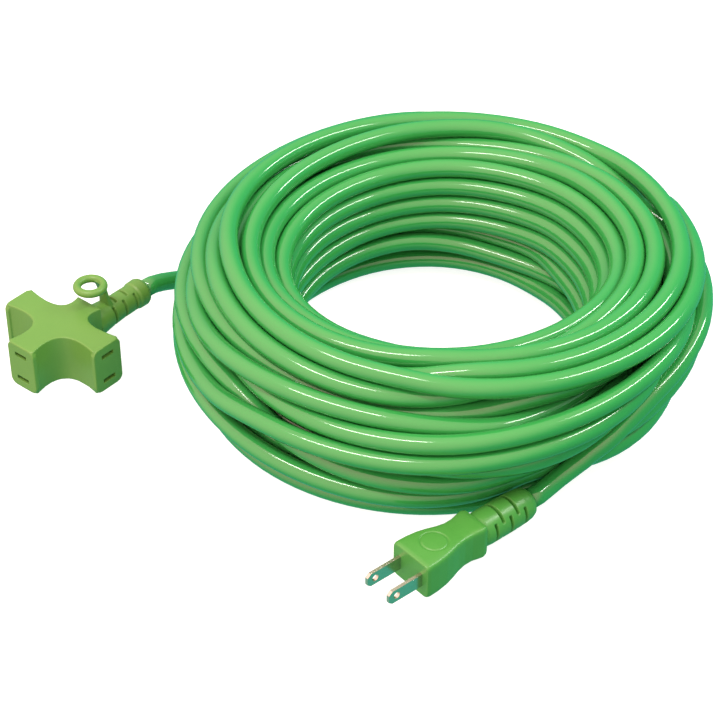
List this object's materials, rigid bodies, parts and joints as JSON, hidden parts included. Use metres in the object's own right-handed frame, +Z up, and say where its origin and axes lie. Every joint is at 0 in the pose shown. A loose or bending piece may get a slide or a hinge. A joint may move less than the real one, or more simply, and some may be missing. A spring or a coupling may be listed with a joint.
{
  "type": "extension cord",
  "caption": "Outdoor extension cord: moulded multi-outlet tap with a hang ring, a long round cord in a flat coil, and a moulded plug with flat blades",
  "frame": {"origin": "on the floor under the middle of the tap, where the axes of its arms cross", "axes": "+Z up, +Y from the middle of the tap along its cord, +X towards the right-hand outlet"},
  "size_m": [0.268, 0.2454, 0.068],
  "materials": {
    "tap_pvc": "satin flexible PVC, moulded in one colour",
    "plug_pvc": "satin flexible PVC, moulded in one colour",
    "sheath_pvc": "glossy extruded PVC sheath",
    "insert_resin": "hard moulded insulating resin",
    "contact_brass": "stamped and folded spring brass",
    "rivet_steel": "plated",
    "blade_nickel": "nickel plated brass, lightly brushed",
    "core_black_pvc": "core insulation",
    "core_white_pvc": "core insulation",
    "copper_wire": "stranded copper"
  },
  "bodies": {
    "tap_and_cord": {"tap_body": "tap_pvc", "tap_carrier_lower": "insert_resin", "tap_divider": "insert_resin", "tap_carrier_upper": "insert_resin", "busbar_lower": "contact_brass", "busbar_upper": "contact_brass", "clip_left_lower": "contact_brass", "clip_left_upper": "contact_brass", "clip_front_lower": "contact_brass", "clip_front_upper": "contact_brass", "clip_right_lower": "contact_brass", "clip_right_upper": "contact_brass", "rivets_lower": "rivet_steel", "rivets_upper": "rivet_steel", "tap_core_black": "core_black_pvc", "tap_core_white": "core_white_pvc", "tap_wire_black": "copper_wire", "tap_wire_white": "copper_wire", "tap_cable_end": "sheath_pvc", "tap_sleeve": "tap_pvc", "cord_lead_tap": "sheath_pvc", "cord_coil": "sheath_pvc", "cord_lead_plug": "sheath_pvc", "plug_body": "plug_pvc", "plug_carrier": "insert_resin", "blade_left": "blade_nickel", "blade_right": "blade_nickel", "plug_core_black": "core_black_pvc", "plug_core_white": "core_white_pvc", "plug_wire_black": "copper_wire", "plug_wire_white": "copper_wire", "plug_cable_end": "sheath_pvc", "plug_sleeve": "plug_pvc"},
    "ring": {"hang_ring": "tap_pvc"}
  },
  "joints": [
    {"name": "ring_flex", "type": "hinge", "parent": "tap_and_cord", "child": "ring", "pos_m": [0, 0.0259, 0.022], "axis": [1, 0, 0], "range_deg": [-40, 16], "stiffness_Nm_per_rad": 0.02}
  ]
}
